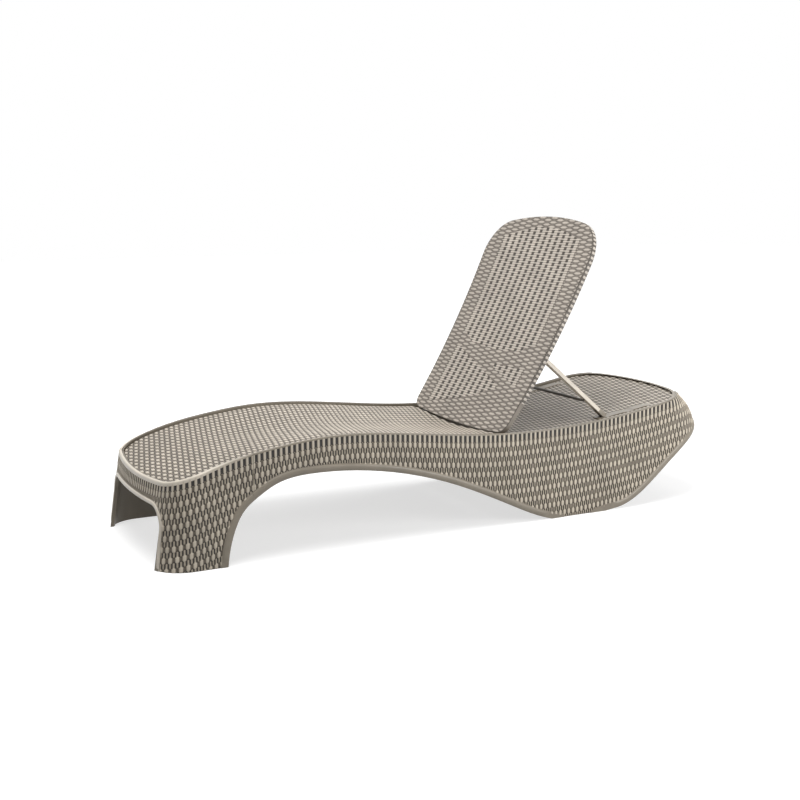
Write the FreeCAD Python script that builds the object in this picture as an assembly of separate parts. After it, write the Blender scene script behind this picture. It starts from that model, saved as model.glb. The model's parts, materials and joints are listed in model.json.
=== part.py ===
import FreeCAD, Part
import math
import os

os.makedirs("parts", exist_ok=True)
Vector = FreeCAD.Vector

# Sun lounger with a woven-look moulded body, a hinged back and a folding prop.
# Millimetres. +X runs from the foot end to the head end, +Z is up, and the
# origin is on the floor below the middle of the body.

# Overall body
overall_length = 1955.0
rim_span = 607.0
floor_span = 619.0
crest_height = 341.0
tip_height = 267.0
cut_overrun = 60.0
mating_gap = 0.3

# Foot end and head end, seen from above
foot_flare = 50.0
foot_bulge = 34.0
foot_corner_radius = 100.0
head_tuck = 92.0
head_rim_height = 366.0
head_bulge = 52.0
head_corner_radius = 150.0
loft_level_shares = (0.0, 0.5, 1.0, 1.3, 1.62)

# Rim line seen from the side: shares of the length and of the crest height
rim_line_shares = (
    (-0.060, 0.560),
    (0.0235, 0.7155),
    (0.089, 0.850),
    (0.174, 0.951),
    (0.256, 1.000),
    (0.404, 0.950),
    (0.539, 0.871),
    (0.654, 0.859),
    (0.820, 0.938),
    (0.951, 1.079),
    (1.060, 1.245),
)

# Side arch between leg and belly: shares of the length and of the arch height
arch_height = 240.0
arch_line_shares = (
    (0.0980, -0.250),
    (0.1010, 0.100),
    (0.1130, 0.4625),
    (0.1258, 0.646),
    (0.1504, 0.808),
    (0.1754, 0.921),
    (0.2384, 1.000),
    (0.3437, 0.929),
    (0.4547, 0.696),
    (0.5734, 0.279),
    (0.6358, 0.055),
    (0.6800, -0.040),
)

# Underside of the head end: shares of the length and of the tip height
head_line_shares = (
    (0.7400, -0.060),
    (0.7657, 0.000),
    (0.7990, 0.034),
    (0.8320, 0.135),
    (0.8660, 0.311),
    (0.9335, 0.700),
    (1.0000, 0.985),
    (1.0400, 1.130),
)

# Arch in the foot end
end_arch_span = 490.0
end_arch_height = 172.0
end_arch_radius = 60.0

# Walls of the body
wall = 4.5
rim_thickness = 10.0
ledge_depth = 5.0
ledge_reach = 18.0
lip_band = 22.0
end_lip_band = 14.0
lip_proud = 2.5
lip_thickness = 7.0

# Seat and deck panels
panel_thickness = 5.0
panel_drop = 8.0
panel_side_gap = 4.0
seat_dish = 14.0
seat_border = 34.0
seat_rear_gap = 30.0
deck_front_gap = 25.0
rib_thickness = 3.0
rib_depth = 12.0
seat_rib_pitch = 92.0
seat_rib_count = 5
seat_cross_rib_count = 7
deck_rib_pitch = 120.0
deck_rib_count = 3
seat_section_count = 25
seat_row_count = 17
dish_start_share = 0.05
dish_full_share = 0.24

# Cross beams under the seat, as boxed tubes
beam_width = 40.0
beam_height = 25.0
beam_wall = 2.0
front_beam_station = 330.0
rear_beam_station = 800.0
hinge_beam_top = 246.0
saddle_reach = 20.0
saddle_wall = 5.0
saddle_drop = 4.0

# Back panel
hinge_station = 1127.0
hinge_height = 292.0
back_angle = 62.0
back_length = 742.0
back_tail = 8.0
back_span = 632.0
back_tail_span = 594.0
back_edge_height = 15.0
back_skin = 4.5
back_skirt = 4.0
back_front_offset = 20.0
back_dish = 9.0
back_bow = 19.5
back_crown = 46.0
back_top_radius = 132.0
back_section_count = 6
back_tail_bulge = 14.0
back_tail_radius = 40.0
back_rib_start = 40.0
back_rib_end = 480.0
back_rib_depth = 8.0
back_rib_pitch = 70.0
back_rib_count = 5
back_cross_rib_shares = (0.0, 0.33, 0.67, 1.0)

# Back hinge
hinge_offset = 255.0
pin_diameter = 8.0
pin_clearance = 0.03
bush_wall = 2.0
lug_thickness = 10.0
lug_radius = 9.0
knuckle_thickness = 8.0
knuckle_radius = 11.0
side_play = 0.5
pin_head_diameter = 13.0
pin_head_depth = 3.0
lug_slot_play = 1.5
bracket_base_length = 36.0
bracket_base_width = 34.0
bracket_base_thickness = 4.0

# Folding prop behind the back
prop_offset = 255.0
prop_pivot_station = 268.0
prop_pivot_offset = 2.5
prop_length = 325.0
prop_width = 24.0
prop_depth = 12.0
prop_wall = 2.5
prop_foot_width = 28.0
prop_cap_length = 26.0
prop_cap_wall = 1.2
prop_tip_gap = 4.0
prop_eye_clearance = 1.0
cheek_thickness = 5.0
cheek_radius = 8.5
cheek_length = 40.0
crossbar_diameter = 10.0
crossbar_station = 238.0
crossbar_drop = 6.0

# Notched rails on the deck, for the feet of the prop
rail_width = 32.0
rail_height = 5.0
rail_lead = 26.0
rail_tail = 22.0
notch_radius = 90.0
notch_depth = 1.5
notch_angles = (62.0, 48.0, 28.0)

# Screws through the hinge brackets
screw_diameter = 4.0
screw_clearance = 0.05
screw_head_diameter = 8.0
screw_head_depth = 2.2
bracket_screw_offset = 12.5


# Places worked out from the sizes above
foot_end = -overall_length / 2.0
head_end = overall_length / 2.0
axis_y = Vector(0, 1, 0)
foot_bow_radius = ((floor_span / 2.0) ** 2 + foot_bulge ** 2) / (2.0 * foot_bulge)
jamb_setback = foot_bow_radius - math.sqrt(foot_bow_radius ** 2 - (end_arch_span / 2.0) ** 2)
hinge_point = Vector(foot_end + hinge_station, 0, hinge_height)
back_top = back_front_offset
ledge_drop = panel_drop + panel_thickness + mating_gap
prop_foot_radius = prop_depth / 2.0 + prop_cap_wall


def along(share):
    """X of a share of the body's length."""
    return foot_end + share * overall_length


def spline(points):
    """Smooth curve through points."""
    curve = Part.BSplineCurve()
    curve.interpolate(points)
    return curve


def profile_line(shares, height, rise):
    """Side-view curve through shares of the length and of a height."""
    return spline([Vector(along(x), 0, z * height + rise) for x, z in shares])


def rim_line(rise):
    """The rim's side-view wave, moved up by rise."""
    return profile_line(rim_line_shares, crest_height, rise)


def shifted_line(curve, distance, count):
    """Curve beside another in the side view, on its upper left, at a distance."""
    first = curve.FirstParameter
    step = (curve.LastParameter - first) / (count - 1)
    points = []
    for index in range(count):
        value = first + step * index
        tangent = curve.tangent(value)[0]
        points.append(curve.value(value) + Vector(-tangent.z, 0, tangent.x) * distance)
    return spline(points)


def across_prism(curve, level):
    """Solid between a side-view curve and a level, across the whole body."""
    start = curve.value(curve.FirstParameter)
    end = curve.value(curve.LastParameter)
    corners = [end, Vector(end.x, 0, level), Vector(start.x, 0, level), start]
    edges = [curve.toShape(), Part.makePolygon(corners)]
    face = Part.Face(Part.Wire(Part.__sortEdges__([edge for shape in edges for edge in shape.Edges])))
    reach = floor_span + cut_overrun
    face.translate(Vector(0, -reach / 2.0, 0))
    return face.extrude(Vector(0, reach, 0))


def rim_height_at(x):
    """Height of the rim at an X."""
    low = -cut_overrun
    probe = Part.makeLine(Vector(x, 0, low), Vector(x, 0, crest_height + head_rim_height))
    return probe.distToShape(rim_line(0).toShape())[1][0][0].z


def end_points(end, inward, half_span, bulge, corner):
    """Tangent points of a bowed end: on the bow, on the corner, on the side."""
    bow = (half_span ** 2 + bulge ** 2) / (2.0 * bulge)
    centre = Vector(end + inward * bow, 0, 0)
    reach = math.sqrt((bow - corner) ** 2 - (half_span - corner) ** 2)
    corner_centre = Vector(centre.x - inward * reach, half_span - corner, 0)
    outward = (corner_centre - centre).normalize()
    middle = (outward + Vector(0, 1, 0)).normalize()
    return centre + outward * bow, corner_centre + middle * corner, corner_centre + Vector(0, corner, 0)


def mirrored(point):
    """Point on the other side of the body's middle plane."""
    return Vector(point.x, -point.y, point.z)


def bowed_outline(low_end, high_end, low_bow, high_bow):
    """Closed plan outline with two bowed ends; each bow is (half span, bulge, corner radius)."""
    low = end_points(low_end, 1, *low_bow)
    high = end_points(high_end, -1, *high_bow)
    edges = [
        Part.Arc(mirrored(low[0]), Vector(low_end, 0, 0), low[0]).toShape(),
        Part.Arc(*low).toShape(),
        Part.makeLine(low[2], high[2]),
        Part.Arc(high[2], high[1], high[0]).toShape(),
        Part.Arc(high[0], Vector(high_end, 0, 0), mirrored(high[0])).toShape(),
        Part.Arc(mirrored(high[0]), mirrored(high[1]), mirrored(high[2])).toShape(),
        Part.makeLine(mirrored(high[2]), mirrored(low[2])),
        Part.Arc(mirrored(low[2]), mirrored(low[1]), mirrored(low[0])).toShape(),
    ]
    return Part.Wire(edges)


def body_outline(height, inset):
    """The body's plan outline at a height, drawn in by inset."""
    foot = foot_end + lip_proud - jamb_setback + foot_flare * height / crest_height + inset
    climb = max(0.0, height - tip_height) / (head_rim_height - tip_height)
    head = head_end - lip_proud - head_tuck * climb ** 2 - inset
    half_span = (floor_span + (rim_span - floor_span) * height / crest_height) / 2.0 - inset
    foot_bow = (half_span, foot_bulge, foot_corner_radius - inset)
    head_bow = (half_span, head_bulge, head_corner_radius - inset)
    outline = bowed_outline(foot, head, foot_bow, head_bow)
    outline.translate(Vector(0, 0, height))
    return outline


def body_loft(inset):
    """The body's outer form, drawn in by inset, from below the floor to above the rim."""
    levels = [-cut_overrun] + [share * tip_height for share in loft_level_shares]
    return Part.makeLoft([body_outline(level, inset) for level in levels], True)


def box(low, high):
    """Box between two corners."""
    return Part.makeBox(high.x - low.x, high.y - low.y, high.z - low.z, low)


def rod(start, end, radius):
    """Round bar between two points."""
    return Part.makeCylinder(radius, (end - start).Length, start, end - start)


def joined(shapes):
    """Union of shapes."""
    return shapes[0].multiFuse(shapes[1:]).removeSplitter()


def slab(low_rise, high_rise):
    """Solid between two copies of the rim line, across the whole body."""
    top = crest_height + head_rim_height
    return across_prism(rim_line(low_rise), top).cut(across_prism(rim_line(high_rise), top))


def under_rim(rise):
    """Everything below the rim line moved up by rise."""
    return across_prism(rim_line(rise), -cut_overrun)


def end_arch(margin):
    """Opening in the foot end, grown by margin, from before the foot to behind the legs."""
    half = end_arch_span / 2.0 + margin
    top = end_arch_height + margin
    radius = end_arch_radius + margin
    diagonal = radius * (1.0 - math.sqrt(0.5))
    x = foot_end - cut_overrun
    left_arc = Part.Arc(
        Vector(x, -half, top - radius),
        Vector(x, -half + diagonal, top - diagonal),
        Vector(x, -half + radius, top),
    )
    right_arc = Part.Arc(
        Vector(x, half - radius, top),
        Vector(x, half - diagonal, top - diagonal),
        Vector(x, half, top - radius),
    )
    foot_left = Vector(x, -half, -cut_overrun)
    foot_right = Vector(x, half, -cut_overrun)
    wire = Part.Wire([
        Part.makeLine(foot_left, Vector(x, -half, top - radius)),
        left_arc.toShape(),
        Part.makeLine(Vector(x, -half + radius, top), Vector(x, half - radius, top)),
        right_arc.toShape(),
        Part.makeLine(Vector(x, half, top - radius), foot_right),
        Part.makeLine(foot_right, foot_left),
    ])
    reach = cut_overrun + arch_line_shares[0][0] * overall_length
    return Part.Face(wire).extrude(Vector(reach, 0, 0))


def beam_places():
    """X and top height of each cross beam."""
    front = foot_end + front_beam_station
    rear = foot_end + rear_beam_station
    return {
        "seat_beam_front": (front, seat_beam_top(front)),
        "seat_beam_rear": (rear, seat_beam_top(rear)),
        "hinge_beam": (hinge_point.x, hinge_beam_top),
    }


def beam_saddles():
    """Pockets on the inside of the side walls that carry the ends of the cross beams."""
    saddles = []
    for x, top in beam_places().values():
        half = beam_width / 2.0 + saddle_wall
        low = Vector(x - half, -floor_span / 2.0, top - beam_height - saddle_wall)
        block = box(low, Vector(x + half, floor_span / 2.0, top - saddle_drop))
        grip = beam_width / 2.0 + mating_gap
        pocket_low = Vector(x - grip, -floor_span / 2.0, top - beam_height - mating_gap)
        saddles.append(block.cut(box(pocket_low, Vector(x + grip, floor_span / 2.0, top))))
    ring = body_loft(wall / 2.0).cut(body_loft(wall + saddle_reach))
    return [saddle.common(ring) for saddle in saddles]


def make_body_shell():
    """Moulded body: woven-look wall, rim, ledge for the panels and lip along the lower edge."""
    arch = profile_line(arch_line_shares, arch_height, 0)
    head = profile_line(head_line_shares, tip_height, 0)
    samples = 2 * len(arch_line_shares)
    openings = [
        across_prism(arch, -cut_overrun),
        across_prism(head, -cut_overrun),
        end_arch(0),
    ]
    bands = joined([
        across_prism(shifted_line(arch, lip_band, samples), -cut_overrun),
        across_prism(shifted_line(head, lip_band, samples), -cut_overrun),
        end_arch(end_lip_band),
    ])
    ledge_low = -ledge_drop - ledge_depth
    body = body_loft(0).fuse(body_loft(-lip_proud).common(bands))
    body = body.common(under_rim(0))
    reach = overall_length
    body = body.cut(box(Vector(-reach, -reach, -reach), Vector(reach, reach, 0)))
    body = body.cut(joined(openings))
    body = body.cut(body_loft(rim_thickness).cut(under_rim(-ledge_drop)))
    body = body.cut(body_loft(rim_thickness + ledge_reach).cut(under_rim(ledge_low - mating_gap)))
    body = body.cut(body_loft(lip_thickness).common(under_rim(ledge_low)))
    body = body.cut(body_loft(wall).common(under_rim(ledge_low)).cut(bands))
    return joined([body] + beam_saddles())


def eased(share):
    """Smooth step from 0 to 1."""
    share = min(1.0, max(0.0, share))
    return share * share * (3.0 - 2.0 * share)


def seat_dip(x, y):
    """Depth of the seat's dish at a place, nothing at the border and at the foot end."""
    along_share = (x - foot_end) / overall_length
    ramp = eased((along_share - dish_start_share) / (dish_full_share - dish_start_share))
    across_share = min(1.0, abs(y) / (rim_span / 2.0 - seat_border))
    return seat_dish * ramp * (1.0 - across_share ** 2) ** 2


def dished_slab(drop, depth):
    """Slab with the seat's dish, its top at drop below the rim line."""
    first = foot_end - cut_overrun
    step = (hinge_point.x - first) / (seat_section_count - 1)
    stride = rim_span / (seat_row_count - 1)
    rows = []
    for index in range(seat_section_count):
        x = first + step * index
        height = rim_height_at(x) - drop - depth
        across = [stride * place - rim_span / 2.0 for place in range(seat_row_count)]
        rows.append([Vector(x, y, height - seat_dip(x, y)) for y in across])
    surface = Part.BSplineSurface()
    surface.interpolate(rows)
    return surface.toShape().extrude(Vector(0, 0, depth))


def rib_grid(first, last, pitch, count, cross_stations, half_reach):
    """Upright plates along and across, to be trimmed to a panel's underside."""
    plates = []
    tall = crest_height + head_rim_height
    for index in range(count):
        y = (index - (count - 1) / 2.0) * pitch
        low = Vector(first, y - rib_thickness / 2.0, 0)
        plates.append(box(low, Vector(last, y + rib_thickness / 2.0, tall)))
    for x in cross_stations:
        low = Vector(x - rib_thickness / 2.0, -half_reach, 0)
        plates.append(box(low, Vector(x + rib_thickness / 2.0, half_reach, tall)))
    return joined(plates)


def make_seat_panel():
    """Dished seat with stiffening ribs beneath."""
    rear = hinge_point.x - seat_rear_gap
    tall = crest_height + head_rim_height
    window = box(Vector(foot_end, -rim_span, 0), Vector(rear, rim_span, tall))
    field = body_loft(rim_thickness + panel_side_gap).common(window)
    skin = dished_slab(panel_drop, panel_thickness).common(field)
    inner = body_loft(rim_thickness + ledge_reach + panel_side_gap).common(window)
    low = panel_drop + panel_thickness / 2.0
    layer = dished_slab(low, panel_thickness / 2.0 + rib_depth).common(inner)
    first = foot_end + foot_flare
    step = (rear - first) / (seat_cross_rib_count + 1)
    crossings = [first + step * (index + 1) for index in range(seat_cross_rib_count)]
    grid = rib_grid(first, rear, seat_rib_pitch, seat_rib_count, crossings, rim_span / 2.0)
    return joined([skin, grid.common(layer)])


def make_rear_deck():
    """Deck behind the hinge, under the folded back."""
    front = hinge_point.x + deck_front_gap
    tall = crest_height + head_rim_height
    window = box(Vector(front, -rim_span, 0), Vector(head_end, rim_span, tall))
    skin = slab(-panel_drop - panel_thickness, -panel_drop)
    skin = skin.common(body_loft(rim_thickness + panel_side_gap)).common(window)
    layer = slab(-panel_drop - panel_thickness - rib_depth, -panel_drop - panel_thickness / 2.0)
    layer = layer.common(body_loft(rim_thickness + ledge_reach + panel_side_gap)).common(window)
    middle = [(front + head_end) / 2.0]
    grid = rib_grid(front, head_end, deck_rib_pitch, deck_rib_count, middle, rim_span / 2.0)
    return joined([skin, grid.common(layer)])


def make_seat_beam(x, top):
    """Boxed tube across the body, between the side walls."""
    half = floor_span / 2.0
    half_width = beam_width / 2.0
    outer = box(Vector(x - half_width, -half, top - beam_height), Vector(x + half_width, half, top))
    inner = box(
        Vector(x - half_width + beam_wall, -half, top - beam_height + beam_wall),
        Vector(x + half_width - beam_wall, half, top - beam_wall),
    )
    return outer.cut(inner).common(body_loft(wall + mating_gap))


def bracket_screw_points(side):
    """Places of the screws through one hinge bracket, on top of its base."""
    z = hinge_beam_top + bracket_base_thickness
    y = side * hinge_offset
    x = hinge_point.x
    return [Vector(x, y - bracket_screw_offset, z), Vector(x, y + bracket_screw_offset, z)]


def make_hinge_beam():
    """Cross beam under the hinge, bored for the bracket screws."""
    beam = make_seat_beam(hinge_point.x, hinge_beam_top)
    points = bracket_screw_points(-1) + bracket_screw_points(1)
    return beam.cut(joined([screw_hole(point, bracket_screw_length()) for point in points]))


def bracket_screw_length():
    """Length of a bracket screw, through the base and the beam's upper wall."""
    return bracket_base_thickness + beam_wall + screw_diameter


def screw_hole(point, length):
    """Clearance hole below a point."""
    return rod(point, point - Vector(0, 0, length), screw_diameter / 2.0 + screw_clearance)


def make_screws(points, length):
    """Separate screws, their heads resting on the points."""
    screws = []
    for point in points:
        head = rod(point, point + Vector(0, 0, screw_head_depth), screw_head_diameter / 2.0)
        shank = rod(point, point - Vector(0, 0, length), screw_diameter / 2.0)
        screws.append(joined([head, shank]))
    return Part.makeCompound(screws)


def seat_beam_top(x):
    """Height of the lowest rib edge over a seat beam."""
    edges = (rim_height_at(x - beam_width / 2.0), rim_height_at(x + beam_width / 2.0))
    return min(edges) - panel_drop - panel_thickness - seat_dish - rib_depth - mating_gap


def make_hinge_bracket(side):
    """Upright lug on the hinge beam, bored for the hinge pin."""
    y = side * hinge_offset
    half = lug_thickness / 2.0
    centre = Vector(hinge_point.x, y - half, hinge_height)
    lug = Part.makeCylinder(lug_radius, lug_thickness, centre, axis_y)
    post = box(
        Vector(hinge_point.x - lug_radius, y - half, hinge_beam_top),
        Vector(hinge_point.x + lug_radius, y + half, hinge_height),
    )
    base = box(
        Vector(hinge_point.x - bracket_base_width / 2.0, y - bracket_base_length / 2.0, hinge_beam_top),
        Vector(
            hinge_point.x + bracket_base_width / 2.0,
            y + bracket_base_length / 2.0,
            hinge_beam_top + bracket_base_thickness,
        ),
    )
    bore = Part.makeCylinder(pin_diameter / 2.0 + pin_clearance, lug_thickness, centre, axis_y)
    holes = [screw_hole(point, bracket_screw_length()) for point in bracket_screw_points(side)]
    return joined([lug, post, base]).cut(joined([bore] + holes))


def pin_half_length():
    """Half the length of a hinge pin, from lug to the outside of the knuckles."""
    return lug_thickness / 2.0 + side_play + knuckle_thickness + side_play


def make_pin(point, half_length):
    """Pin along Y with a flat head at each end."""
    start = point - axis_y * half_length
    end = point + axis_y * half_length
    head = axis_y * pin_head_depth
    head_radius = pin_head_diameter / 2.0
    shank = rod(start, end, pin_diameter / 2.0)
    return joined([shank, rod(start, start - head, head_radius), rod(end, end + head, head_radius)])


def knuckle_starts(side):
    """Y of the low face of each knuckle of one hinge."""
    y = side * hinge_offset
    reach = lug_thickness / 2.0 + side_play
    return (y - reach - knuckle_thickness, y + reach)


def make_hinge_bushes(side):
    """Plain bushes in the two knuckles of one hinge."""
    bushes = []
    inner = pin_diameter / 2.0 + pin_clearance
    for y in knuckle_starts(side):
        start = Vector(hinge_point.x, y, hinge_height)
        sleeve = Part.makeCylinder(inner + bush_wall, knuckle_thickness, start, axis_y)
        bushes.append(sleeve.cut(Part.makeCylinder(inner, knuckle_thickness, start, axis_y)))
    return Part.makeCompound(bushes)


def raised(shape):
    """Turn a piece of the back from lying along X to its raised place on the hinge."""
    shape.rotate(Vector(0, 0, 0), axis_y, -back_angle)
    shape.translate(hinge_point)
    return shape


def back_outline(inset):
    """Plan outline of the back, drawn in by inset."""
    top_bow = (back_span / 2.0 - inset, back_crown, back_top_radius - inset)
    tail_bow = (back_tail_span / 2.0 - inset, back_tail_bulge, back_tail_radius - inset)
    low = -back_tail - back_tail_bulge + inset
    return bowed_outline(low, back_length - inset, tail_bow, top_bow)


def back_prism(inset, low, high):
    """Upright prism on the back's outline."""
    outline = back_outline(inset)
    outline.translate(Vector(0, 0, low))
    return Part.Face(outline).extrude(Vector(0, 0, high - low))


def back_bow_at(x):
    """How far the back lies behind its straight chord at a place of its length."""
    share = x / back_length
    return 4.0 * back_bow * share * (1.0 - share)


def under_back_face(drop, dish=back_dish):
    """Everything below the bowed and dished front of the back, lowered by drop."""
    depth = 2.0 * cut_overrun
    half = back_span / 2.0
    reach = half + back_skirt
    first = -back_tail - back_tail_bulge - back_skirt
    step = (back_length + back_skirt - first) / (back_section_count - 1)
    stride = 2.0 * reach / (back_section_count - 1)
    rows = []
    for index in range(back_section_count):
        x = first + step * index
        level = back_top - back_bow_at(x) - drop - depth
        across = [stride * place - reach for place in range(back_section_count)]
        rows.append([Vector(x, y, level - dish * (1.0 - (y / half) ** 2)) for y in across])
    surface = Part.BSplineSurface()
    surface.interpolate(rows)
    return surface.toShape().extrude(Vector(0, 0, depth))


def make_backrest_panel():
    """Dished back with a skirt round its edge, ribs behind and hinge knuckles."""
    front = under_back_face(0)
    rear = under_back_face(back_skin)
    whole = back_prism(0, -cut_overrun, cut_overrun)
    inner = back_prism(back_skirt, -cut_overrun, cut_overrun)
    skin = whole.common(front).cut(rear)
    skirt = whole.cut(inner).common(front).cut(under_back_face(back_edge_height, 0.0))
    layer = under_back_face(back_skin / 2.0).cut(under_back_face(back_skin + back_rib_depth))
    crossings = [back_rib_start + share * (back_rib_end - back_rib_start) for share in back_cross_rib_shares]
    half_reach = back_rib_pitch * (back_rib_count - 1) / 2.0
    grid = rib_grid(back_rib_start, back_rib_end, back_rib_pitch, back_rib_count, crossings, half_reach)
    grid.translate(Vector(0, 0, -crest_height))
    solids = [skin, skirt, grid.common(layer)]
    bores = []
    bush_radius = pin_diameter / 2.0 + pin_clearance + bush_wall
    for side in (-1, 1):
        for y in knuckle_starts(side):
            start = Vector(0, y, 0)
            ring = Part.makeCylinder(knuckle_radius, knuckle_thickness, start, axis_y)
            web = box(
                Vector(-knuckle_radius / 2.0, y, 0),
                Vector(knuckle_radius, y + knuckle_thickness, back_top),
            )
            solids.append(joined([ring, web]).common(under_back_face(back_skin / 2.0)))
            bores.append(Part.makeCylinder(bush_radius, knuckle_thickness, start, axis_y))
        half = lug_thickness / 2.0 + side_play
        y = side * hinge_offset
        reach = lug_radius + lug_slot_play
        low = Vector(-cut_overrun, y - half, -cut_overrun)
        bores.append(box(low, Vector(reach, y + half, reach)))
    panel = joined(solids)
    return raised(panel.cut(joined(bores)))


def prop_pivot():
    """Prop pivot in the back's own lying position."""
    return Vector(prop_pivot_station, 0, prop_pivot_offset - back_bow_at(prop_pivot_station))


def make_prop_bracket(side):
    """Fork behind the back that carries one leg of the prop."""
    y = side * prop_offset
    pivot = prop_pivot()
    inner = prop_width / 2.0 + side_play
    half = inner + cheek_thickness
    cheeks = []
    for start in (y - half, y + inner):
        centre = Vector(pivot.x, start, pivot.z)
        ring = Part.makeCylinder(cheek_radius, cheek_thickness, centre, axis_y)
        web = box(
            Vector(pivot.x - cheek_radius, start, pivot.z),
            Vector(pivot.x + cheek_radius, start + cheek_thickness, back_top),
        )
        cheeks.append(joined([ring, web]))
    base_low = pivot.z + prop_depth / 2.0 + prop_eye_clearance
    base = box(
        Vector(pivot.x - cheek_length / 2.0, y - half, base_low),
        Vector(pivot.x + cheek_length / 2.0, y + half, back_top),
    )
    fork = joined(cheeks + [base]).common(under_back_face(back_skin))
    bore = rod(
        Vector(pivot.x, y - half, pivot.z),
        Vector(pivot.x, y + half, pivot.z),
        pin_diameter / 2.0 + pin_clearance,
    )
    return raised(fork.cut(bore))


def make_prop_pin(side):
    """Pivot pin of one leg of the prop."""
    reach = prop_width / 2.0 + side_play + cheek_thickness
    return raised(make_pin(prop_pivot() + axis_y * side * prop_offset, reach))


def back_to_body(point):
    """Place in the raised position of a point given in the back's lying position."""
    turn = FreeCAD.Rotation(axis_y, -back_angle)
    return turn.multVec(point) + hinge_point


def prop_reach(angle):
    """Foot of the prop on the rail with the back at an angle: X, and the prop's slope."""
    turn = FreeCAD.Rotation(axis_y, -angle)
    pivot = turn.multVec(prop_pivot()) + hinge_point
    low = 0.0
    high = math.radians(angle) + math.pi / 2.0
    for _ in range(40):
        slope = (low + high) / 2.0
        x = pivot.x + prop_length * math.cos(slope)
        z = pivot.z - prop_length * math.sin(slope)
        if z > rail_floor(x) + prop_foot_radius + mating_gap:
            low = slope
        else:
            high = slope
    return x, slope


def rail_floor(x):
    """Height of a notch's floor at an X."""
    return rim_height_at(x) - panel_drop + rail_height - notch_depth


def prop_placed(shape):
    """Turn a prop piece from hanging along X to its rest place on the raised back."""
    slope = prop_reach(back_angle)[1]
    shape.rotate(Vector(0, 0, 0), axis_y, math.degrees(slope))
    shape.translate(back_to_body(prop_pivot()))
    return shape


def prop_channel(side):
    """Channel bar of a leg, open towards the rear, with a round eye end."""
    y = side * prop_offset
    half_width = prop_width / 2.0
    half_depth = prop_depth / 2.0
    end = prop_length - prop_tip_gap
    bar = box(Vector(0, y - half_width, -half_depth), Vector(end, y + half_width, half_depth))
    eye = rod(Vector(0, y - half_width, 0), Vector(0, y + half_width, 0), half_depth)
    hollow = box(
        Vector(half_depth + prop_wall, y - half_width + prop_wall, -half_depth),
        Vector(end, y + half_width - prop_wall, half_depth - prop_wall),
    )
    bore = rod(
        Vector(0, y - half_width, 0),
        Vector(0, y + half_width, 0),
        pin_diameter / 2.0 + pin_clearance,
    )
    return joined([bar, eye]).cut(hollow).cut(bore)


def crossbar_line(reach):
    """Crossbar of the prop, out to reach on each side."""
    z = -crossbar_drop
    start = Vector(crossbar_station, -reach, z)
    return rod(start, Vector(crossbar_station, reach, z), crossbar_diameter / 2.0)


def make_prop_leg(side):
    """One leg of the prop, bored for the crossbar's end."""
    reach = prop_offset - prop_width / 2.0 + prop_wall
    return prop_placed(prop_channel(side).cut(crossbar_line(reach)))


def make_prop_crossbar():
    """Round bar between the legs of the prop."""
    return prop_placed(crossbar_line(prop_offset - prop_width / 2.0 + prop_wall - mating_gap))


def make_prop_foot(side):
    """Moulded cap with a round nose on the end of a leg."""
    y = side * prop_offset
    half_width = prop_foot_width / 2.0
    start = prop_length - prop_cap_length
    nose = rod(
        Vector(prop_length, y - half_width, 0),
        Vector(prop_length, y + half_width, 0),
        prop_foot_radius,
    )
    sleeve = box(
        Vector(start, y - half_width, -prop_foot_radius),
        Vector(prop_length, y + half_width, prop_foot_radius),
    )
    socket = box(
        Vector(start, y - prop_width / 2.0, -prop_depth / 2.0),
        Vector(prop_length - prop_tip_gap, y + prop_width / 2.0, prop_depth / 2.0),
    )
    return prop_placed(joined([nose, sleeve]).cut(socket))


def make_notch_rail(side):
    """Low rail on the deck with a shallow notch for each position of the back."""
    y = side * prop_offset
    feet = [prop_reach(angle)[0] for angle in notch_angles]
    low = Vector(min(feet) - rail_lead, y - rail_width / 2.0, 0)
    high = Vector(max(feet) + rail_tail, y + rail_width / 2.0, crest_height + head_rim_height)
    rail = slab(-panel_drop, -panel_drop + rail_height).common(box(low, high))
    for x in feet:
        z = rail_floor(x) + notch_radius
        centre = Vector(x, y - rail_width / 2.0, z)
        rail = rail.cut(Part.makeCylinder(notch_radius, rail_width, centre, axis_y))
    return rail


def write(name, shape):
    """Check a piece and write it."""
    solids = shape.Solids
    if not solids or not shape.isValid():
        raise ValueError(name + " is not a valid solid")
    piece = solids[0] if len(solids) == 1 else Part.makeCompound(solids)
    piece.exportStep("parts/" + name + ".step")
    bounds = piece.optimalBoundingBox()
    print(
        name, len(solids), "solids", round(piece.Volume / 1000.0, 1), "cm3",
        [round(value, 1) for value in (bounds.XMin, bounds.YMin, bounds.ZMin)],
        [round(value, 1) for value in (bounds.XMax, bounds.YMax, bounds.ZMax)],
    )


def main():
    """Make every piece."""
    write("body_shell", make_body_shell())
    write("seat_panel", make_seat_panel())
    write("rear_deck", make_rear_deck())
    beams = beam_places()
    write("seat_beam_front", make_seat_beam(*beams["seat_beam_front"]))
    write("seat_beam_rear", make_seat_beam(*beams["seat_beam_rear"]))
    write("hinge_beam", make_hinge_beam())
    write("backrest_panel", make_backrest_panel())
    write("prop_crossbar", make_prop_crossbar())
    for side, label in ((-1, "right"), (1, "left")):
        write("hinge_bracket_" + label, make_hinge_bracket(side))
        pin_point = hinge_point + axis_y * side * hinge_offset
        write("hinge_pin_" + label, make_pin(pin_point, pin_half_length()))
        write("hinge_bushes_" + label, make_hinge_bushes(side))
        write("prop_bracket_" + label, make_prop_bracket(side))
        write("prop_pin_" + label, make_prop_pin(side))
        write("prop_leg_" + label, make_prop_leg(side))
        write("prop_foot_" + label, make_prop_foot(side))
        write("notch_rail_" + label, make_notch_rail(side))
        write("bracket_screws_" + label, make_screws(bracket_screw_points(side), bracket_screw_length()))


main()
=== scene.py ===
"""Looks of a moulded woven-look sun lounger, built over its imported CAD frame."""

import json
import logging
import math
from collections.abc import Callable
from dataclasses import dataclass, field
from enum import Enum
from typing import NamedTuple

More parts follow.
